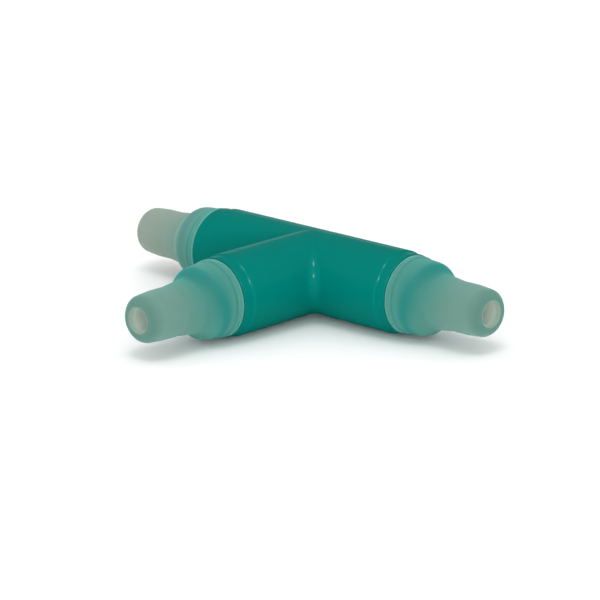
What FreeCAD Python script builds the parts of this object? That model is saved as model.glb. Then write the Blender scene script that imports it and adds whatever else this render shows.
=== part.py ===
import FreeCAD, Part
import math
import os

# Air line tee for 4/6 mm aquarium tubing, in millimetres.
# The run lies along X, the branch points along -Y and Z is up.
# The origin is where the axes of the run and the branch cross.

# Air path
AIRWAY_DIAMETER = 2.2

# Tee body
RUN_REACH = 12.1
BRANCH_REACH = 12.1
SOCKET_WALL = 1.25
CROTCH_RADIUS = 1.0
MOUTH_BAND_LENGTH = 1.1
MOUTH_BAND_STEP = 0.1
MOUTH_BAND_TAPER = 0.05
MOUTH_EDGE_CHAMFER = 0.2

# Spigot of a nozzle and its seat in the body
SPIGOT_WALL = 1.35
SPIGOT_LENGTH = 4.8
SPIGOT_LEAD = 0.3
SPIGOT_SIDE_CLEARANCE = 0.05
SPIGOT_END_CLEARANCE = 0.2

# Flange, groove and hub of a nozzle
FLANGE_SETBACK = 0.23
FLANGE_LENGTH = 0.6
FLANGE_BACK_CHAMFER = 0.15
GROOVE_WALL_LENGTH = 0.12
GROOVE_FLOOR_LENGTH = 0.16
GROOVE_DEPTH = 0.13
HUB_DROP = 0.12
HUB_LENGTH = 1.4
HUB_DRAFT = 0.18
HUB_FRONT_RADIUS = 1.6
SHOULDER_LENGTH = 1.25
SHOULDER_FILLET_RADIUS = 2.0

# Tube end of a nozzle
ROOT_SWELL = 0.25
ROOT_LENGTH = 1.95
TUBE_SEAT_WALL = 1.15
TUBE_SEAT_LENGTH = 1.8
TIP_LENGTH = 2.1
TIP_DROP = 0.14
TIP_LEAD = 0.45
TIP_BACK_RADIUS = 0.8
TIP_FRONT_RADIUS = 0.45
MOUTH_CHAMFER = 0.15

# Radii that follow from the walls
airway_radius = AIRWAY_DIAMETER / 2
spigot_radius = airway_radius + SPIGOT_WALL
socket_radius = spigot_radius + SPIGOT_SIDE_CLEARANCE
body_radius = socket_radius + SOCKET_WALL
band_radius = body_radius - MOUTH_BAND_STEP
mouth_radius = band_radius - MOUTH_BAND_TAPER
flange_radius = body_radius - FLANGE_SETBACK
hub_radius = flange_radius - HUB_DROP
groove_radius = hub_radius - GROOVE_DEPTH
hub_front_radius = hub_radius - HUB_DRAFT
tube_seat_radius = airway_radius + TUBE_SEAT_WALL
root_radius = tube_seat_radius + ROOT_SWELL
tip_radius = tube_seat_radius - TIP_DROP
socket_depth = SPIGOT_LENGTH + SPIGOT_END_CLEARANCE

# Stations of a nozzle, measured outwards from the mouth of its socket
flange_end = FLANGE_LENGTH
groove_start = flange_end + GROOVE_WALL_LENGTH
groove_end = groove_start + GROOVE_FLOOR_LENGTH
hub_start = groove_end + GROOVE_WALL_LENGTH
hub_end = hub_start + HUB_LENGTH
shoulder_end = hub_end + SHOULDER_LENGTH
root_end = shoulder_end + ROOT_LENGTH
tube_seat_end = root_end + TUBE_SEAT_LENGTH
nozzle_tip = tube_seat_end + TIP_LENGTH

AXIS_START = FreeCAD.Vector(0, 0, 0)
AXIS_ALONG_X = FreeCAD.Vector(1, 0, 0)
UP = FreeCAD.Vector(0, 0, 1)

# Turn about Z that carries the +X direction onto each arm
RUN_RIGHT_TURN = 0
RUN_LEFT_TURN = 180
BRANCH_TURN = -90
ARMS = ((RUN_REACH, RUN_RIGHT_TURN), (RUN_REACH, RUN_LEFT_TURN), (BRANCH_REACH, BRANCH_TURN))


def rounded_profile(corners):
    """Closed wire in the XZ plane through corners given as (x, radius, rounding)."""
    points = [FreeCAD.Vector(x, 0, radius) for x, radius, rounding in corners]
    count = len(corners)
    edges = []
    starts = []
    ends = []
    arcs = []
    for i in range(count):
        corner = points[i]
        rounding = corners[i][2]
        towards_last = (points[i - 1] - corner).normalize()
        towards_next = (points[(i + 1) % count] - corner).normalize()
        half_angle = towards_last.getAngle(towards_next) / 2
        tangent_length = rounding / math.tan(half_angle)
        start = corner + towards_last * tangent_length
        end = corner + towards_next * tangent_length
        inwards = (towards_last + towards_next).normalize()
        middle = corner + inwards * (rounding / math.sin(half_angle) - rounding)
        starts.append(start)
        ends.append(end)
        arcs.append(Part.Arc(start, middle, end).toShape() if rounding > 0 else None)
    for i in range(count):
        if arcs[i]:
            edges.append(arcs[i])
        edges.append(Part.LineSegment(ends[i], starts[(i + 1) % count]).toShape())
    return Part.Wire(edges)


def revolved(corners):
    """Solid of revolution about the X axis."""
    face = Part.Face(rounded_profile(corners))
    return face.revolve(AXIS_START, AXIS_ALONG_X, 360)


def turned(shape, degrees):
    """The shape turned about the vertical axis through the origin."""
    shape.rotate(AXIS_START, UP, degrees)
    return shape


def rod(radius, start, end):
    """Cylinder along X between two stations."""
    return Part.makeCylinder(radius, end - start, FreeCAD.Vector(start, 0, 0), AXIS_ALONG_X)


def arm(inner_end, reach):
    """Outside of one arm, from a plain inner end to the slightly slimmer band at its mouth."""
    band_start = reach - MOUTH_BAND_LENGTH
    return revolved([
        (inner_end, 0, 0),
        (inner_end, body_radius, 0),
        (band_start, body_radius, 0),
        (band_start + MOUTH_BAND_STEP, band_radius, 0),
        (reach - MOUTH_EDGE_CHAMFER, mouth_radius, 0),
        (reach, mouth_radius - MOUTH_EDGE_CHAMFER, 0),
        (reach, 0, 0),
    ])


def crotch_edges(outside):
    """Edges where the branch leaves the run, clear of the mouths."""
    inner_zone = body_radius * 1.01
    found = []
    for edge in outside.Edges:
        box = edge.BoundBox
        centred = max(abs(box.XMin), abs(box.XMax), abs(box.YMin), abs(box.YMax)) < inner_zone
        leans = box.XLength > body_radius / 2 and box.YLength > body_radius / 2
        if centred and leans:
            found.append(edge)
    return found


def make_tee_body():
    """Moulded tee with a blended crotch, three sockets and the air path."""
    run_arms = arm(0, RUN_REACH).fuse(turned(arm(0, RUN_REACH), RUN_LEFT_TURN)).removeSplitter()
    branch_arm = turned(arm(0, BRANCH_REACH), BRANCH_TURN)
    outside = run_arms.fuse(branch_arm).removeSplitter()
    outside = outside.makeFillet(CROTCH_RADIUS, crotch_edges(outside))
    for reach, degrees in ARMS:
        socket = rod(socket_radius, reach - socket_depth, reach)
        outside = outside.cut(turned(socket, degrees))
    outside = outside.cut(rod(airway_radius, -RUN_REACH, RUN_REACH))
    outside = outside.cut(turned(rod(airway_radius, 0, BRANCH_REACH), BRANCH_TURN))
    return outside


def make_nozzle(reach, degrees):
    """Nozzle with spigot, flange, hub and tube end, seated in the arm of this reach."""
    outline = [
        (-SPIGOT_LENGTH, airway_radius, 0),
        (-SPIGOT_LENGTH, spigot_radius - SPIGOT_LEAD, 0),
        (SPIGOT_LEAD - SPIGOT_LENGTH, spigot_radius, 0),
        (0, spigot_radius, 0),
        (0, flange_radius - FLANGE_BACK_CHAMFER, 0),
        (FLANGE_BACK_CHAMFER, flange_radius, 0),
        (flange_end, flange_radius, 0),
        (groove_start, groove_radius, 0),
        (groove_end, groove_radius, 0),
        (hub_start, hub_radius, 0),
        (hub_end, hub_front_radius, HUB_FRONT_RADIUS),
        (shoulder_end, root_radius, SHOULDER_FILLET_RADIUS),
        (root_end, tube_seat_radius, 0),
        (tube_seat_end, tube_seat_radius, 0),
        (nozzle_tip - TIP_LEAD, tip_radius, TIP_BACK_RADIUS),
        (nozzle_tip, tip_radius - TIP_LEAD, TIP_FRONT_RADIUS),
        (nozzle_tip, airway_radius + MOUTH_CHAMFER, 0),
        (nozzle_tip - MOUTH_CHAMFER, airway_radius, 0),
    ]
    nozzle = revolved([(reach + x, radius, rounding) for x, radius, rounding in outline])
    return turned(nozzle, degrees)


def write(name, shape):
    """Save one node as a STEP file."""
    shape.exportStep(os.path.join("parts", name + ".step"))


def main():
    os.makedirs("parts", exist_ok=True)
    write("tee_body", make_tee_body())
    write("run_nozzle_right", make_nozzle(RUN_REACH, RUN_RIGHT_TURN))
    write("run_nozzle_left", make_nozzle(RUN_REACH, RUN_LEFT_TURN))
    write("branch_nozzle", make_nozzle(BRANCH_REACH, BRANCH_TURN))


main()
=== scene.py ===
"""Looks of an air line tee: a teal moulded body and three milky push-on nozzles, on a pale floor."""

import logging
import math
from dataclasses import dataclass
from enum import Enum
from typing import Any

import bmesh
import bpy
from mathutils import Matrix, Vector


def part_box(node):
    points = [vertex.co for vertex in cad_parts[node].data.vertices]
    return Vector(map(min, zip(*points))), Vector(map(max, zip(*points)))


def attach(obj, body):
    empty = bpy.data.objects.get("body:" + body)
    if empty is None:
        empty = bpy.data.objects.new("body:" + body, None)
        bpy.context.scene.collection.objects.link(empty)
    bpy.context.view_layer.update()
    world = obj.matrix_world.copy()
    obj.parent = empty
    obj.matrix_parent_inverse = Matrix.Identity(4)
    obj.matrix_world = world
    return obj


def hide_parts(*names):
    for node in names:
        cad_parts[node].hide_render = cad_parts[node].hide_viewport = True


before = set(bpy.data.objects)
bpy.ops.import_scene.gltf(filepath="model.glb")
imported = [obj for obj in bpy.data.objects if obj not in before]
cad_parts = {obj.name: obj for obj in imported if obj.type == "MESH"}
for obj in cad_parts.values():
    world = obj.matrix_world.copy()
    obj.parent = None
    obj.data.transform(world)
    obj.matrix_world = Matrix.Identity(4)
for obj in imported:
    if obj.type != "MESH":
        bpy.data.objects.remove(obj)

log = logging.getLogger("tee")

MM = 0.001
BODY = "root"
BODY_NODE = "tee_body"
QUARTER_TURN = math.pi / 2
HALF_TURN = math.pi
FULL_TURN = 2 * math.pi
MERGE_DISTANCE = 0.0005 * MM
SHARP_ANGLE = math.radians(32)
WHITE = "#ffffff"

# Kinds of node that are used in several places
MATH = "ShaderNodeMath"
MAP_RANGE = "ShaderNodeMapRange"
MIX = "ShaderNodeMix"
NOISE = "ShaderNodeTexNoise"
BUMP = "ShaderNodeBump"
PRINCIPLED = "ShaderNodeBsdfPrincipled"

# Number of finer layers in a noise, and number of the output of a Mix node that is a colour
NOISE_DETAIL = 2.0
MIXED_COLOUR = 2

Point = tuple[float, float, float]


class Arm(Enum):
    """The three arms: the name of each one's nozzle, and the turn about Z that carries +X onto it."""

    RUN_RIGHT = ("run_nozzle_right", 0.0)
    RUN_LEFT = ("run_nozzle_left", HALF_TURN)
    BRANCH = ("branch_nozzle", -QUARTER_TURN)

    @property
    def node(self) -> str:
        """Name of the nozzle in this arm."""
        return self.value[0]

    @property
    def turn(self) -> float:
        """Turn about Z in radians."""
        return self.value[1]


class WhiteFor(Enum):
    """The kinds of ray that see the surroundings as plain white."""

    CAMERA = "Is Camera Ray"
    GLOSSY = "Is Glossy Ray"
    TRANSMISSION = "Is Transmission Ray"


class Sheds(Enum):
    """What a lamp gives: soft light on the surfaces, or only the glints in their gloss."""

    SOFT_LIGHT = "soft light"
    GLINTS = "glints"


def linear(colour: str) -> tuple[float, float, float, float]:
    """Turn an sRGB hex colour into linear RGBA.

    Args:
        colour: Six hex digits after a #.

    Returns:
        Linear red, green and blue, and a full alpha.
    """
    parts = [int(colour[i:i + 2], 16) / 255 for i in (1, 3, 5)]
    # The curve of the sRGB standard: a straight piece near black and a power above it.
    straight = [p / 12.92 if p <= 0.04045 else ((p + 0.055) / 1.055) ** 2.4 for p in parts]
    return (*straight, 1.0)


def add_node(
    tree: bpy.types.NodeTree,
    kind: str,
    inputs: dict[str, Any] | None = None,
    **settings: Any,
) -> bpy.types.Node:
    """Add a node with its settings, and fill or link its inputs.

    Args:
        tree: The tree that gets the node.
        kind: The node's type.
        inputs: Values, or output sockets to link, by the input's identifier or name.
        settings: The node's own properties, by name.

    Returns:
        The new node.
    """
    node = tree.nodes.new(kind)
    for name, value in settings.items():
        setattr(node, name, value)
    sockets = {socket.name: socket for socket in reversed(node.inputs)}
    sockets.update({socket.identifier: socket for socket in node.inputs})
    for name, value in (inputs or {}).items():
        if isinstance(value, bpy.types.NodeSocket):
            tree.links.new(value, sockets[name])
        else:
            sockets[name].default_value = value
    return node


@dataclass(frozen=True)
class Corner:
    """A corner of a lathed outline: station along the axis, radius and rounding, in mm."""

    along: float
    radius: float
    rounding: float = 0.0


@dataclass(frozen=True)
class Outline:
    """A lathed outline in mm, with true arcs at its corners and a support near each end of a long span."""

    corners: tuple[Corner, ...]
    closed: bool
    arc_step: float = math.radians(9)
    fewest_steps: int = 2
    support: float = 0.02
    long_span: float = 0.08

    def points(self) -> list[Vector]:
        """Work out the outline's points.

        Returns:
            Points of (along, radius) in mm, in the order of the corners.
        """
        last = len(self.corners) - 1
        found: list[Vector] = []
        for index, corner in enumerate(self.corners):
            at_an_end = not self.closed and index in (0, last)
            if at_an_end or corner.rounding == 0:
                found.append(Vector((corner.along, corner.radius)))
            else:
                found.extend(self._arc(index))
        return self._supported(found)

    def _arc(self, index: int) -> list[Vector]:
        """Points of the arc that rounds a corner.

        Args:
            index: The corner's number.

        Returns:
            Points from the arc's start to its end.
        """
        rounding = self.corners[index].rounding
        here, before, after = (
            Vector((corner.along, corner.radius))
            for corner in (
                self.corners[index],
                self.corners[index - 1],
                self.corners[(index + 1) % len(self.corners)],
            )
        )
        back = (before - here).normalized()
        ahead = (after - here).normalized()
        half_angle = back.angle(ahead) / 2
        centre = here + (back + ahead).normalized() * (rounding / math.sin(half_angle))
        tangent_length = rounding / math.tan(half_angle)
        spoke = here + back * tangent_length - centre
        sweep = HALF_TURN - 2 * half_angle
        if back.cross(ahead) > 0:
            sweep = -sweep
        steps = max(self.fewest_steps, math.ceil(abs(sweep) / self.arc_step))
        return [centre + Matrix.Rotation(sweep * i / steps, 2) @ spoke for i in range(steps + 1)]

    def _supported(self, points: list[Vector]) -> list[Vector]:
        """Add a point near both ends of each long span, so that smooth shading keeps the flats flat.

        Args:
            points: The outline's points.

        Returns:
            The same points with the added ones.
        """
        full: list[Vector] = []
        for index, start in enumerate(points):
            full.append(start)
            if index == len(points) - 1 and not self.closed:
                break
            end = points[(index + 1) % len(points)]
            length = (end - start).length
            if length > self.long_span:
                full.append(start.lerp(end, self.support / length))
                full.append(end.lerp(start, self.support / length))
        return full


def dress_piece(piece: bpy.types.Object, material: bpy.types.Material, node: str) -> None:
    """Give a finished piece its material and shading, and put it on its body in its node's stead.

    Args:
        piece: The piece, as a plain mesh at the origin.
        material: Its finish.
        node: The node that it stands for.
    """
    piece.data.materials.clear()
    piece.data.materials.append(material)
    piece.data.shade_smooth()
    piece.data.set_sharp_from_angle(angle=SHARP_ANGLE)
    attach(piece, BODY)
    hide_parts(node)
    log.info("%s: %d faces, %s", piece.name, len(piece.data.polygons), material.name)


@dataclass(frozen=True)
class TealPlastic:
    """Injection-moulded ABS with the pigment all through it, from a polished mould.

    It gives the eye one full, even colour under a soft gloss. Faint waves of sink and flow bend the
    reflections, and the pigment lies in very slightly lighter and darker clouds.
    """

    colour: str = "#006f65"
    cloud_colour: str = "#00736a"
    roughness: float = 0.3
    gloss: float = 0.05
    gloss_roughness: float = 0.2
    cloud_size: float = 3.5
    wave_size: float = 1.7
    wave_depth: float = 0.004
    # Real mould polish is finer than this, which is as fine as the render shows.
    grain_size: float = 0.14
    grain_depth: float = 0.0010

    def make(self) -> bpy.types.Material:
        """Build the material on Object coordinates.

        Returns:
            The material.
        """
        material = bpy.data.materials.new("teal_moulded_abs")
        material.use_nodes = True
        tree = material.node_tree
        tree.nodes.clear()
        place = add_node(tree, "ShaderNodeTexCoord").outputs["Object"]
        clouds, waves, grain = (
            add_node(
                tree, NOISE, {"Vector": place, "Scale": 1 / (size * MM), "Detail": NOISE_DETAIL}
            ).outputs["Fac"]
            for size in (self.cloud_size, self.wave_size, self.grain_size)
        )
        tone = add_node(
            tree,
            MIX,
            {"Factor_Float": clouds, "A_Color": linear(self.colour), "B_Color": linear(self.cloud_colour)},
            data_type="RGBA",
        )
        sink = add_node(tree, BUMP, {"Height": waves, "Distance": self.wave_depth * MM})
        skin = add_node(
            tree,
            BUMP,
            {"Height": grain, "Distance": self.grain_depth * MM, "Normal": sink.outputs["Normal"]},
        )
        shader = add_node(
            tree,
            PRINCIPLED,
            {
                "Base Color": tone.outputs[MIXED_COLOUR],
                "Roughness": self.roughness,
                "Specular IOR Level": 0.0,
                "Coat Weight": self.gloss,
                "Coat Roughness": self.gloss_roughness,
                "Normal": skin.outputs["Normal"],
                "Coat Normal": sink.outputs["Normal"],
            },
        )
        add_node(tree, "ShaderNodeOutputMaterial", {"Surface": shader.outputs["BSDF"]})
        return material


@dataclass(frozen=True)
class Zone:
    """A zone of a nozzle: its colour, and the stations that have it, in mm out from the socket's mouth."""

    colour: str
    stations: tuple[float, ...]


@dataclass(frozen=True)
class MilkyPlastic:
    """Injection-moulded polypropylene without pigment, left milky by its own crystals.

    It gives the eye a soft, dull glow: light goes in, spreads and comes out near by. Over the socket
    Over the socket the teal shows through as a green ring, the flange's rim is paler with a painted
    highlight, and the tube end fades to grey.
    Light that falls in from above carries the teal further along the top of the hub, by the lean: painted
    light. A nozzle with white behind it gets a painted backlight, a grey haze that grows the further out
    along it. Light also comes in through the wall of the airway, so its mouth is painted pale, a painted
    glow.
    """

    name: str
    run_reach: float
    branch_reach: float
    airway_radius: float
    lean: float
    painted_backlight: float
    # The rim's paler colour is a painted highlight, where light catches the flange's edge.
    rim: Zone = Zone("#5f988c", (0.0, 0.16))
    flange: Zone = Zone("#48877e", (0.34, 1.2))
    ring: Zone = Zone("#2b7c75", (1.8, 2.4))
    shoulder: Zone = Zone("#4b867c", (3.3,))
    tube: Zone = Zone("#63897f", (6.0,))
    tip: Zone = Zone("#698c82", (8.3,))
    lip: Zone = Zone("#587d73", (9.5,))
    # Painted backlight: the grey that light from behind lays over the far nozzle, and where it starts.
    painted_backlight_colour: str = "#8a9086"
    painted_backlight_start: float = 1.0
    # Painted light from above: how far the zones lean along the top of the hub, and where the lean rises
    # and fades.
    lean_start: float = 1.2
    lean_full: float = 2.2
    lean_fade: float = 4.0
    lean_end: float = 6.5
    # The pale airway colours are a painted glow of the light that comes in through the wall.
    bore_colour: str = "#bccabf"
    bore_edge: float = 0.2
    mouth_colour: str = "#7b8f82"
    mouth_depth: float = 0.6
    roughness: float = 0.5
    sheen: float = 0.04
    sheen_roughness: float = 0.42
    scatter: float = 1.0
    scatter_distance: float = 0.9
    scatter_of_each_colour: tuple[float, float, float] = (1.0, 1.0, 1.0)
    wave_size: float = 0.9
    wave_depth: float = 0.008

    @property
    def tip_station(self) -> float:
        """Station of the tip, in mm."""
        return self.lip.stations[-1]

    def make(self) -> bpy.types.Material:
        """Build the material on Object coordinates.

        Returns:
            The material.
        """
        material = bpy.data.materials.new(self.name)
        material.use_nodes = True
        tree = material.node_tree
        tree.nodes.clear()
        place = add_node(tree, "ShaderNodeTexCoord").outputs["Object"]
        waves = add_node(
            tree, NOISE, {"Vector": place, "Scale": 1 / (self.wave_size * MM), "Detail": NOISE_DETAIL}
        ).outputs["Fac"]
        skin = add_node(tree, BUMP, {"Height": waves, "Distance": self.wave_depth * MM})
        shader = add_node(
            tree,
            PRINCIPLED,
            {
                "Base Color": self._add_colour(tree, place),
                "Roughness": self.roughness,
                "Specular IOR Level": 0.0,
                "Coat Weight": self.sheen,
                "Coat Roughness": self.sheen_roughness,
                "Subsurface Weight": self.scatter,
                "Subsurface Scale": self.scatter_distance * MM,
                "Subsurface Radius": self.scatter_of_each_colour,
                "Normal": skin.outputs["Normal"],
                "Coat Normal": skin.outputs["Normal"],
            },
        )
        add_node(tree, "ShaderNodeOutputMaterial", {"Surface": shader.outputs["BSDF"]})
        return material

    def _add_colour(self, tree: bpy.types.NodeTree, place: bpy.types.NodeSocket) -> bpy.types.NodeSocket:
        """Add the nodes that colour a nozzle by its station along its own arm.

        Args:
            tree: The material's tree.
            place: The point's coordinates.

        Returns:
            The colour.
        """
        parts = add_node(tree, "ShaderNodeSeparateXYZ", {"Vector": place}).outputs
        along_run, along_branch = (
            add_node(tree, MATH, {"Value": parts[axis]}, operation="ABSOLUTE").outputs["Value"]
            for axis in ("X", "Y")
        )
        past_run, past_branch = (
            add_node(
                tree, MATH, {"Value": along, "Value_001": reach * MM}, operation="SUBTRACT"
            ).outputs["Value"]
            for along, reach in ((along_run, self.run_reach), (along_branch, self.branch_reach))
        )
        station, aside = (
            add_node(
                tree, MATH, {"Value": first, "Value_001": second}, operation=which
            ).outputs["Value"]
            for which, first, second in (
                ("MAXIMUM", past_run, past_branch),
                ("MINIMUM", along_run, along_branch),
            )
        )
        skin = self._add_skin_colour(tree, station, parts["Z"])
        level = add_node(tree, "ShaderNodeCombineXYZ", {"X": aside, "Y": parts["Z"]})
        off_axis = add_node(
            tree, "ShaderNodeVectorMath", {"Vector": level.outputs["Vector"]}, operation="LENGTH"
        )
        outside_bore, near_mouth = (
            add_node(tree, MAP_RANGE, {"Value": value, "From Min": none * MM, "From Max": full * MM})
            for value, none, full in (
                (off_axis.outputs["Value"], self.airway_radius, self.airway_radius + self.bore_edge),
                (station, self.tip_station - self.mouth_depth, self.tip_station),
            )
        )
        # Painted glow: the airway is pale, the way light through its wall makes it.
        bore = add_node(
            tree,
            MIX,
            {
                "Factor_Float": near_mouth.outputs["Result"],
                "A_Color": linear(self.bore_colour),
                "B_Color": linear(self.mouth_colour),
            },
            data_type="RGBA",
        )
        mixed = add_node(
            tree,
            MIX,
            {
                "Factor_Float": outside_bore.outputs["Result"],
                "A_Color": bore.outputs[MIXED_COLOUR],
                "B_Color": skin,
            },
            data_type="RGBA",
        )
        return mixed.outputs[MIXED_COLOUR]

    def _add_skin_colour(
        self, tree: bpy.types.NodeTree, station: bpy.types.NodeSocket, height: bpy.types.NodeSocket
    ) -> bpy.types.NodeSocket:
        """Add the nodes that blend the zones into each other, lean them by the painted light from above
        and lay the painted backlight over them.

        Args:
            tree: The material's tree.
            station: The point's station, in metres out from the socket's mouth.
            height: Its height over the arms' axes.

        Returns:
            The colour of the outside.
        """
        # Painted light from above: the zones reach further out along the top of the hub than along its
        # bottom.
        rise, fall = (
            add_node(
                tree,
                MAP_RANGE,
                {"Value": station, "From Min": none * MM, "From Max": full * MM, "To Max": self.lean},
            ).outputs["Result"]
            for none, full in ((self.lean_start, self.lean_full), (self.lean_end, self.lean_fade))
        )
        lean = add_node(tree, MATH, {"Value": rise, "Value_001": fall}, operation="MINIMUM")
        shift = add_node(
            tree, MATH, {"Value": lean.outputs["Value"], "Value_001": height}, operation="MULTIPLY"
        )
        leaning = add_node(
            tree, MATH, {"Value": station, "Value_001": shift.outputs["Value"]}, operation="SUBTRACT"
        )
        share = add_node(
            tree, MAP_RANGE, {"Value": leaning.outputs["Value"], "From Max": self.tip_station * MM}
        )
        ramp = add_node(tree, "ShaderNodeValToRGB", {"Fac": share.outputs["Result"]})
        zones = (self.rim, self.flange, self.ring, self.shoulder, self.tube, self.tip, self.lip)
        wanted = [(along, zone.colour) for zone in zones for along in zone.stations]
        stops = ramp.color_ramp.elements
        for along, _ in wanted[1:-1]:
            stops.new(along / self.tip_station)
        for stop, (_, colour) in zip(stops, wanted):
            stop.color = linear(colour)
        # Painted backlight: the colour greys towards the tip, the way light from the white behind the
        # nozzle greys it.
        outwards = add_node(
            tree,
            MAP_RANGE,
            {"Value": station, "From Min": self.painted_backlight_start * MM, "From Max": self.tip_station * MM},
        )
        spread = add_node(tree, MATH, {"Value": outwards.outputs["Result"]}, operation="SQRT")
        veil = add_node(
            tree, MATH, {"Value": spread.outputs["Value"], "Value_001": self.painted_backlight}, operation="MULTIPLY"
        )
        backlit_colour = add_node(
            tree,
            MIX,
            {
                "Factor_Float": veil.outputs["Value"],
                "A_Color": ramp.outputs["Color"],
                "B_Color": linear(self.painted_backlight_colour),
            },
            data_type="RGBA",
        )
        return backlit_colour.outputs[MIXED_COLOUR]


@dataclass(frozen=True)
class FloorPaint:
    """Matt white paint on a smooth board, which gives the eye an even pale ground that takes a shadow."""

    colour: str = "#fdfdfd"
    roughness: float = 0.9

    def make(self) -> bpy.types.Material:
        """Build the material.

        Returns:
            The material.
        """
        material = bpy.data.materials.new("matt_white_board")
        material.use_nodes = True
        tree = material.node_tree
        tree.nodes.clear()
        shader = add_node(
            tree,
            PRINCIPLED,
            {"Base Color": linear(self.colour), "Roughness": self.roughness, "Specular IOR Level": 0.0},
        )
        add_node(tree, "ShaderNodeOutputMaterial", {"Surface": shader.outputs["BSDF"]})
        return material


class Lathe:
    """A Geometry Nodes tree that sweeps a closed outline round an arm's axis."""

    def __init__(self) -> None:
        """Build the tree with its named inputs."""
        self.tree = bpy.data.node_groups.new("lathe", "GeometryNodeTree")
        face = self.tree.interface
        for name, kind in (
            ("Outline", "NodeSocketGeometry"),
            ("Ring Radius", "NodeSocketFloat"),
            ("Ring Segments", "NodeSocketInt"),
            ("Reach", "NodeSocketFloat"),
            ("Turn", "NodeSocketFloat"),
            ("Plastic", "NodeSocketMaterial"),
        ):
            face.new_socket(name=name, in_out="INPUT", socket_type=kind)
        face.new_socket(name="Wall", in_out="OUTPUT", socket_type="NodeSocketGeometry")
        self.inputs = {item.name: item.identifier for item in face.items_tree if item.in_out == "INPUT"}
        given = add_node(self.tree, "NodeGroupInput").outputs
        outline = add_node(self.tree, "GeometryNodeMeshToCurve", {"Mesh": given["Outline"]})
        ring = add_node(
            self.tree,
            "GeometryNodeCurvePrimitiveCircle",
            {"Resolution": given["Ring Segments"], "Radius": given["Ring Radius"]},
            mode="RADIUS",
        )
        wall = add_node(
            self.tree,
            "GeometryNodeCurveToMesh",
            {"Curve": ring.outputs["Curve"], "Profile Curve": outline.outputs["Curve"]},
        )
        station = add_node(self.tree, "ShaderNodeCombineXYZ", {"Z": given["Reach"]})
        tilt = add_node(self.tree, "ShaderNodeCombineXYZ", {"Y": QUARTER_TURN, "Z": given["Turn"]})
        pushed = add_node(
            self.tree,
            "GeometryNodeTransform",
            {"Geometry": wall.outputs["Mesh"], "Translation": station.outputs["Vector"]},
        )
        laid = add_node(
            self.tree,
            "GeometryNodeTransform",
            {"Geometry": pushed.outputs["Geometry"], "Rotation": tilt.outputs["Vector"]},
        )
        real = add_node(self.tree, "GeometryNodeRealizeInstances", {"Geometry": laid.outputs["Geometry"]})
        painted = add_node(
            self.tree,
            "GeometryNodeSetMaterial",
            {"Geometry": real.outputs["Geometry"], "Material": given["Plastic"]},
        )
        add_node(self.tree, "NodeGroupOutput", {"Wall": painted.outputs["Geometry"]})

    def turn(self, name: str, outline: Outline, values: dict[str, Any]) -> bpy.types.Object:
        """Turn an outline into a plain mesh on its arm.

        Args:
            name: The piece's name.
            outline: The closed outline.
            values: The tree's inputs by name, lengths in metres.

        Returns:
            The piece, with no modifier left on it.
        """
        ring_radius = values["Ring Radius"]
        points = [(point.y * MM - ring_radius, -point.x * MM, 0.0) for point in outline.points()]
        edges = [(i, (i + 1) % len(points)) for i in range(len(points))]
        drawn = bpy.data.meshes.new(name + "_outline")
        drawn.from_pydata(points, edges, [])
        piece = bpy.data.objects.new(name, drawn)
        bpy.context.scene.collection.objects.link(piece)
        modifier = piece.modifiers.new("lathe", "NODES")
        modifier.node_group = self.tree
        for key, value in values.items():
            modifier[self.inputs[key]] = value
        graph = bpy.context.evaluated_depsgraph_get()
        wall = bpy.data.meshes.new_from_object(piece.evaluated_get(graph))
        piece.modifiers.clear()
        piece.data = wall
        wall.name = name
        bpy.data.meshes.remove(drawn)
        self._face_outwards(wall)
        return piece

    @staticmethod
    def _face_outwards(mesh: bpy.types.Mesh) -> None:
        """Merge a mesh's doubles and turn all its faces outwards.

        Args:
            mesh: The mesh to mend.
        """
        shell = bmesh.new()
        shell.from_mesh(mesh)
        bmesh.ops.remove_doubles(shell, verts=shell.verts, dist=MERGE_DISTANCE)
        bmesh.ops.recalc_face_normals(shell, faces=shell.faces)
        shell.to_mesh(mesh)
        shell.free()


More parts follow.
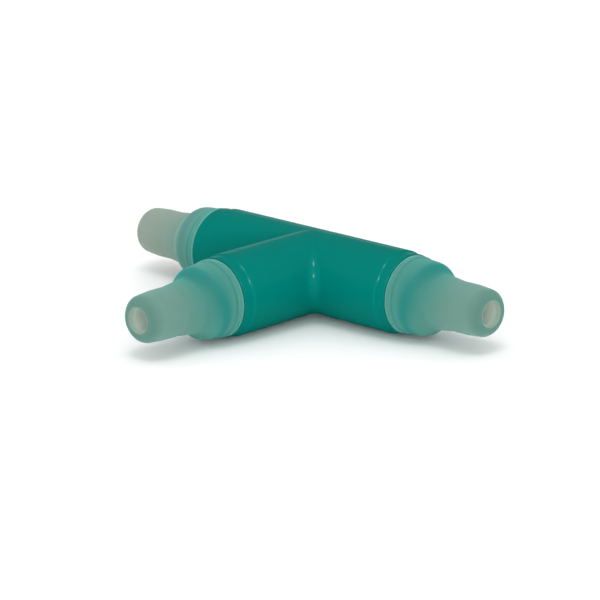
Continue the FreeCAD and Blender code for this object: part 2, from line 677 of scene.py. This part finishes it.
@dataclass
class Nozzle:
    """A push-on nozzle: spigot in its socket, flange, hub, shoulder and tube end. Sizes are in mm."""

    arm: Arm
    reach: float
    tip: float
    spigot_length: float
    flange_radius: float
    airway_radius: float = 1.1
    spigot_radius: float = 2.45
    spigot_lead: float = 0.3
    seat_gap: float = 0.01
    flange_back_rounding: float = 0.15
    flange_length: float = 0.6
    flange_front_rounding: float = 0.2
    groove_wall_length: float = 0.12
    groove_floor_length: float = 0.16
    groove_depth: float = 0.03
    groove_rounding: float = 0.07
    hub_drop: float = 0.12
    hub_back_rounding: float = 0.10
    hub_length: float = 1.5
    hub_draft: float = 0.10
    hub_front_rounding: float = 1.1
    shoulder_length: float = 1.05
    shoulder_rounding: float = 1.0
    root_radius: float = 2.5
    root_length: float = 2.05
    seat_radius: float = 2.25
    seat_length: float = 1.8
    tip_radius: float = 2.11
    tip_lead: float = 0.45
    tip_back_rounding: float = 0.8
    tip_front_rounding: float = 0.45
    mouth_rounding: float = 0.15
    ring_segments: int = 128

    def outline(self) -> Outline:
        """Lay out the section of the wall.

        Returns:
            The closed outline, with stations measured outwards from the mouth of the socket.
        """
        groove_start = self.flange_length + self.groove_wall_length
        groove_end = groove_start + self.groove_floor_length
        hub_start = groove_end + self.groove_wall_length
        hub_end = hub_start + self.hub_length
        hub_radius = self.flange_radius - self.hub_drop
        groove_radius = hub_radius - self.groove_depth
        shoulder_end = hub_end + self.shoulder_length
        root_end = shoulder_end + self.root_length
        seat_end = root_end + self.seat_length
        corners = (
            Corner(-self.spigot_length, self.airway_radius),
            Corner(-self.spigot_length, self.spigot_radius - self.spigot_lead),
            Corner(self.spigot_lead - self.spigot_length, self.spigot_radius),
            Corner(self.seat_gap, self.spigot_radius),
            Corner(self.seat_gap, self.flange_radius, self.flange_back_rounding),
            Corner(self.flange_length, self.flange_radius, self.flange_front_rounding),
            Corner(groove_start, groove_radius, self.groove_rounding),
            Corner(groove_end, groove_radius, self.groove_rounding),
            Corner(hub_start, hub_radius, self.hub_back_rounding),
            Corner(hub_end, hub_radius - self.hub_draft, self.hub_front_rounding),
            Corner(shoulder_end, self.root_radius, self.shoulder_rounding),
            Corner(root_end, self.seat_radius),
            Corner(seat_end, self.seat_radius),
            Corner(self.tip - self.tip_lead, self.tip_radius, self.tip_back_rounding),
            Corner(self.tip, self.tip_radius - self.tip_lead, self.tip_front_rounding),
            Corner(self.tip, self.airway_radius, self.mouth_rounding),
        )
        return Outline(corners, closed=True)

    def build(self, lathe: Lathe, material: bpy.types.Material) -> bpy.types.Object:
        """Turn the nozzle on its arm.

        Args:
            lathe: The tree that sweeps the outline.
            material: The nozzle's plastic.

        Returns:
            The undressed piece.
        """
        values = {
            "Ring Radius": self.airway_radius * MM,
            "Ring Segments": self.ring_segments,
            "Reach": self.reach * MM,
            "Turn": self.arm.turn,
            "Plastic": material,
        }
        return lathe.turn("milky_" + self.arm.node, self.outline(), values)

    def dress(self, piece: bpy.types.Object, material: bpy.types.Material) -> None:
        """Finish the piece in its plastic and put it in its node's place."""
        dress_piece(piece, material, self.arm.node)


@dataclass
class TeeBody:
    """The moulded tee: three tubes with a rolling-ball blend in the crotch, sockets and airway. In mm."""

    radius: float
    run_reach: float
    branch_reach: float
    airway_radius: float = 1.1
    crotch_radius: float = 1.0
    band_length: float = 1.1
    band_step: float = 0.13
    band_slope: float = 0.13
    band_taper: float = 0.02
    band_rounding: float = 0.44
    edge_rounding: float = 0.08
    socket_radius: float = 2.5
    socket_lip: float = 0.06
    socket_depth: float = 5.0
    rows: int = 64
    spans: int = 10
    blend_steps: int = 10

    def build(self) -> bpy.types.Object:
        """Make the whole skin as one closed mesh.

        Returns:
            The undressed piece.
        """
        shell = bmesh.new()
        crossing_reach = self.radius + self.crotch_radius
        self._add_crossing(shell, self.radius, self.crotch_radius, crossing_reach)
        self._add_crossing(shell, self.airway_radius, 0.0, crossing_reach)
        for arm in Arm:
            reach = self.branch_reach if arm is Arm.BRANCH else self.run_reach
            self._add_sleeve(shell, arm, self._sleeve_outline(crossing_reach, reach))
        bmesh.ops.remove_doubles(shell, verts=shell.verts, dist=MERGE_DISTANCE)
        bmesh.ops.recalc_face_normals(shell, faces=shell.faces)
        mesh = bpy.data.meshes.new("teal_tee_body")
        shell.to_mesh(mesh)
        shell.free()
        piece = bpy.data.objects.new("teal_tee_body", mesh)
        bpy.context.scene.collection.objects.link(piece)
        return piece

    def dress(self, piece: bpy.types.Object, material: bpy.types.Material) -> None:
        """Finish the piece in its plastic and put it in its node's place."""
        dress_piece(piece, material, BODY_NODE)

    def _sleeve_outline(self, start: float, reach: float) -> Outline:
        """Lay out an arm's wall from its outside round the mouth to the airway.

        Args:
            start: Station where the crossing ends.
            reach: Station of the mouth.

        Returns:
            The open outline.
        """
        band_start = reach - self.band_length
        band_radius = self.radius - self.band_step
        socket_floor = reach - self.socket_depth
        corners = (
            Corner(start, self.radius),
            Corner(band_start, self.radius, self.band_rounding),
            Corner(band_start + self.band_slope, band_radius),
            Corner(reach, band_radius - self.band_taper, self.edge_rounding),
            Corner(reach, self.socket_radius, self.socket_lip),
            Corner(socket_floor, self.socket_radius),
            Corner(socket_floor, self.airway_radius),
            Corner(start, self.airway_radius),
        )
        return Outline(corners, closed=False)

    def _add_sleeve(self, shell: bmesh.types.BMesh, arm: Arm, outline: Outline) -> None:
        """Add an arm's wall, turned about the arm's axis.

        Args:
            shell: The mesh that gets the faces.
            arm: The arm.
            outline: The wall's outline.
        """
        turn = Matrix.Rotation(arm.turn, 3, "Z")
        around = 2 * self.rows
        grid = []
        for point in outline.points():
            ring = []
            for step in range(around + 1):
                angle = FULL_TURN * step / around
                spoke = Vector((point.x, point.y * math.cos(angle), point.y * math.sin(angle)))
                ring.append(tuple(turn @ spoke))
            grid.append(ring)
        self._add_grid(shell, grid)

    def _add_crossing(
        self, shell: bmesh.types.BMesh, radius: float, blend: float, reach: float
    ) -> None:
        """Add the skin where the three tubes meet, out to the same station on each arm.

        Args:
            shell: The mesh that gets the faces.
            radius: Radius of the tubes.
            blend: Radius of the ball that rolls along the crotch, or 0 for a plain edge.
            reach: Station where the skin ends.
        """
        back = []
        for row in range(self.rows + 1):
            height = HALF_TURN * row / self.rows - QUARTER_TURN
            aside, up = radius * math.cos(height), radius * math.sin(height)
            across = 2 * self.spans
            back.append([(reach * (2 * i / across - 1), aside, up) for i in range(across + 1)])
        self._add_grid(shell, back)
        for side in (1, -1):
            run, branch, crotch = [], [], []
            for row in range(self.rows + 1):
                height = HALF_TURN * row / self.rows - QUARTER_TURN
                aside, up = radius * math.cos(height), radius * math.sin(height)
                clear = (radius + blend) * math.cos(height)
                stations = [clear + (reach - clear) * i / self.spans for i in range(self.spans + 1)]
                run.append([(side * station, -aside, up) for station in stations])
                branch.append([(side * aside, -station, up) for station in stations])
                crotch.append(self._ball_arc(side, radius, blend, height))
            self._add_grid(shell, run)
            self._add_grid(shell, branch)
            if blend > 0:
                self._add_grid(shell, crotch)

    def _ball_arc(self, side: int, radius: float, blend: float, height: float) -> list[Point]:
        """Arc where a rolling ball touches the run and the branch.

        Args:
            side: 1 on the right of the branch, -1 on its left.
            radius: Radius of the tubes.
            blend: Radius of the ball.
            height: Angle of the two points of contact above the tubes' axes.

        Returns:
            Points from the run to the branch.
        """
        clear = (radius + blend) * math.cos(height)
        centre = Vector((clear, -clear, (radius + blend) * math.sin(height)))
        to_run = Vector((0.0, math.cos(height), -math.sin(height)))
        to_branch = Vector((-math.cos(height), 0.0, -math.sin(height)))
        arc = []
        for step in range(self.blend_steps + 1):
            spoke = to_run.slerp(to_branch, step / self.blend_steps, to_run)
            point = centre + spoke * blend
            arc.append((side * point.x, point.y, point.z))
        return arc

    @staticmethod
    def _add_grid(shell: bmesh.types.BMesh, grid: list[list[Point]]) -> None:
        """Add a sheet of four-sided faces.

        Args:
            shell: The mesh that gets the faces.
            grid: Rows of points in mm, all of one length.
        """
        rows = [[shell.verts.new(Vector(point) * MM) for point in row] for row in grid]
        for lower, upper in zip(rows, rows[1:]):
            for i in range(len(lower) - 1):
                shell.faces.new((lower[i], lower[i + 1], upper[i + 1], upper[i]))


@dataclass
class Lamp:
    """A far lamp: where it stands seen from the object, how wide it looks and how bright it is.

    A wide softbox is too dim to see in the gloss, so it sheds soft light. A small bulb leaves glints,
    and a panel behind leaves a line of light along the tops. Their own light on the surfaces is lost
    in that of the softboxes.
    """

    name: str
    azimuth: float
    elevation: float
    width: float
    level: float
    sheds: Sheds = Sheds.SOFT_LIGHT

    def build(self) -> None:
        """Place the lamp as a sun, its level being that of a white sheet that faces it."""
        data = bpy.data.lights.new(self.name, "SUN")
        data.angle = math.radians(self.width)
        data.energy = self.level * math.pi
        lamp = bpy.data.objects.new(self.name, data)
        bpy.context.scene.collection.objects.link(lamp)
        lamp.visible_glossy = self.sheds is Sheds.GLINTS
        lamp.visible_diffuse = self.sheds is Sheds.SOFT_LIGHT
        lamp.rotation_mode = "QUATERNION"
        lamp.rotation_quaternion = seen_from(self.azimuth, self.elevation).to_track_quat("Z", "Y")


def seen_from(azimuth: float, elevation: float) -> Vector:
    """Direction from the object towards a viewpoint.

    Args:
        azimuth: Degrees from -Y towards +X.
        elevation: Degrees above the floor.

    Returns:
        A vector of length 1.
    """
    turn, lift = math.radians(azimuth), math.radians(elevation)
    return Vector((math.sin(turn) * math.cos(lift), -math.cos(turn) * math.cos(lift), math.sin(lift)))


@dataclass
class Viewpoint:
    """The photograph's camera, with the tee's origin on a known pixel of its 600 pixel square."""

    azimuth: float = 44.78
    elevation: float = 15.73
    roll: float = -1.0
    distance: float = 0.327
    pixels_per_mm: float = 11.065
    origin_pixel: tuple[float, float] = (313.3, 269.7)
    picture_size: float = 600.0
    sensor_width: float = 36.0
    nearest: float = 0.0327
    farthest: float = 9.81

    def build(self) -> None:
        """Place the camera and give it to the scene."""
        data = bpy.data.cameras.new("photo_camera")
        data.sensor_width = self.sensor_width
        focal_pixels = self.pixels_per_mm * self.distance / MM
        data.lens = focal_pixels * self.sensor_width / self.picture_size
        middle = self.picture_size / 2
        data.shift_x = (middle - self.origin_pixel[0]) / self.picture_size
        data.shift_y = (self.origin_pixel[1] - middle) / self.picture_size
        data.clip_start = self.nearest
        data.clip_end = self.farthest
        camera = bpy.data.objects.new("photo_camera", data)
        bpy.context.scene.collection.objects.link(camera)
        back = seen_from(self.azimuth, self.elevation)
        camera.location = back * self.distance
        level = back.to_track_quat("Z", "Y").to_matrix()
        roll = Matrix.Rotation(math.radians(self.roll), 3, "Z")
        camera.rotation_euler = (level @ roll).to_euler()
        bpy.context.scene.camera = camera


@dataclass
class Studio:
    """A pale floor under the tee, white surroundings and the lamps."""

    floor_height: float
    floor_radius: float = 3.0
    floor_segments: int = 96
    ambient: float = 0.86
    lamps: tuple[Lamp, ...] = (
        Lamp("front_softbox", azimuth=44, elevation=7, width=12, level=0.38),
        Lamp("upper_softbox", azimuth=46, elevation=31, width=24, level=0.10),
        Lamp("ceiling_softbox", azimuth=43, elevation=70, width=24, level=0.20),
        Lamp("front_bulb", azimuth=46, elevation=31, width=3, level=1.6, sheds=Sheds.GLINTS),
        Lamp("ceiling_bulb", azimuth=43, elevation=70, width=3, level=1.3, sheds=Sheds.GLINTS),
        Lamp("rear_panel", azimuth=225, elevation=6, width=14, level=0.05, sheds=Sheds.GLINTS),
    )

    def build(self) -> None:
        """Lay the floor, light it and set how the picture turns light into colour."""
        self._lay_floor()
        self._surround()
        for lamp in self.lamps:
            lamp.build()
        bpy.context.scene.view_settings.view_transform = "Standard"

    def _lay_floor(self) -> None:
        """Add the floor under the lowest point of the tee."""
        sheet = bmesh.new()
        bmesh.ops.create_circle(
            sheet,
            cap_ends=True,
            segments=self.floor_segments,
            radius=self.floor_radius,
            matrix=Matrix.Translation((0, 0, self.floor_height * MM)),
        )
        mesh = bpy.data.meshes.new("floor")
        sheet.to_mesh(mesh)
        sheet.free()
        mesh.materials.append(FloorPaint().make())
        floor = bpy.data.objects.new("floor", mesh)
        bpy.context.scene.collection.objects.link(floor)

    def _surround(self) -> None:
        """Make the surroundings white to look at, and a soft dim light on the tee."""
        world = bpy.data.worlds.new("white_surroundings")
        world.use_nodes = True
        tree = world.node_tree
        tree.nodes.clear()
        rays = add_node(tree, "ShaderNodeLightPath").outputs
        seen = rays[WhiteFor.CAMERA.value]
        for ray in (WhiteFor.GLOSSY, WhiteFor.TRANSMISSION):
            seen = add_node(
                tree, MATH, {"Value": seen, "Value_001": rays[ray.value]}, operation="MAXIMUM"
            ).outputs["Value"]
        strength = add_node(tree, MAP_RANGE, {"Value": seen, "To Min": self.ambient})
        light = add_node(
            tree,
            "ShaderNodeBackground",
            {"Color": linear(WHITE), "Strength": strength.outputs["Result"]},
        )
        add_node(tree, "ShaderNodeOutputWorld", {"Surface": light.outputs["Background"]})
        bpy.context.scene.world = world


def main() -> None:
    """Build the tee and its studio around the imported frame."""
    logging.basicConfig(level=logging.INFO, format="%(message)s")
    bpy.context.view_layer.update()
    body_low, body_high = (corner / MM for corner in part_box(BODY_NODE))
    run_reach, branch_reach = body_high.x, -body_low.y
    body = TeeBody(radius=body_high.z, run_reach=run_reach, branch_reach=branch_reach)
    body.dress(body.build(), TealPlastic().make())
    given = {
        "run_reach": run_reach,
        "branch_reach": branch_reach,
        "airway_radius": body.airway_radius,
    }
    # Two copies of one plastic with painted light: the near nozzles get the painted light from above, the
    # far one the painted backlight.
    near_milk = MilkyPlastic("milky_polypropylene_painted_top_light", lean=0.28, painted_backlight=0.0, **given).make()
    far_milk = MilkyPlastic("milky_polypropylene_painted_backlight", lean=0.0, painted_backlight=0.8, **given).make()
    lathe = Lathe()
    nozzle_low, nozzle_high = (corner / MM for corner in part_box(Arm.RUN_RIGHT.node))
    for arm in Arm:
        nozzle = Nozzle(
            arm=arm,
            reach=branch_reach if arm is Arm.BRANCH else run_reach,
            tip=nozzle_high.x - run_reach,
            spigot_length=run_reach - nozzle_low.x,
            flange_radius=nozzle_high.z,
        )
        milk = far_milk if arm is Arm.RUN_LEFT else near_milk
        nozzle.dress(nozzle.build(lathe, milk), milk)
    Studio(floor_height=body_low.z).build()
    Viewpoint().build()


if __name__ == "__main__":
    main()
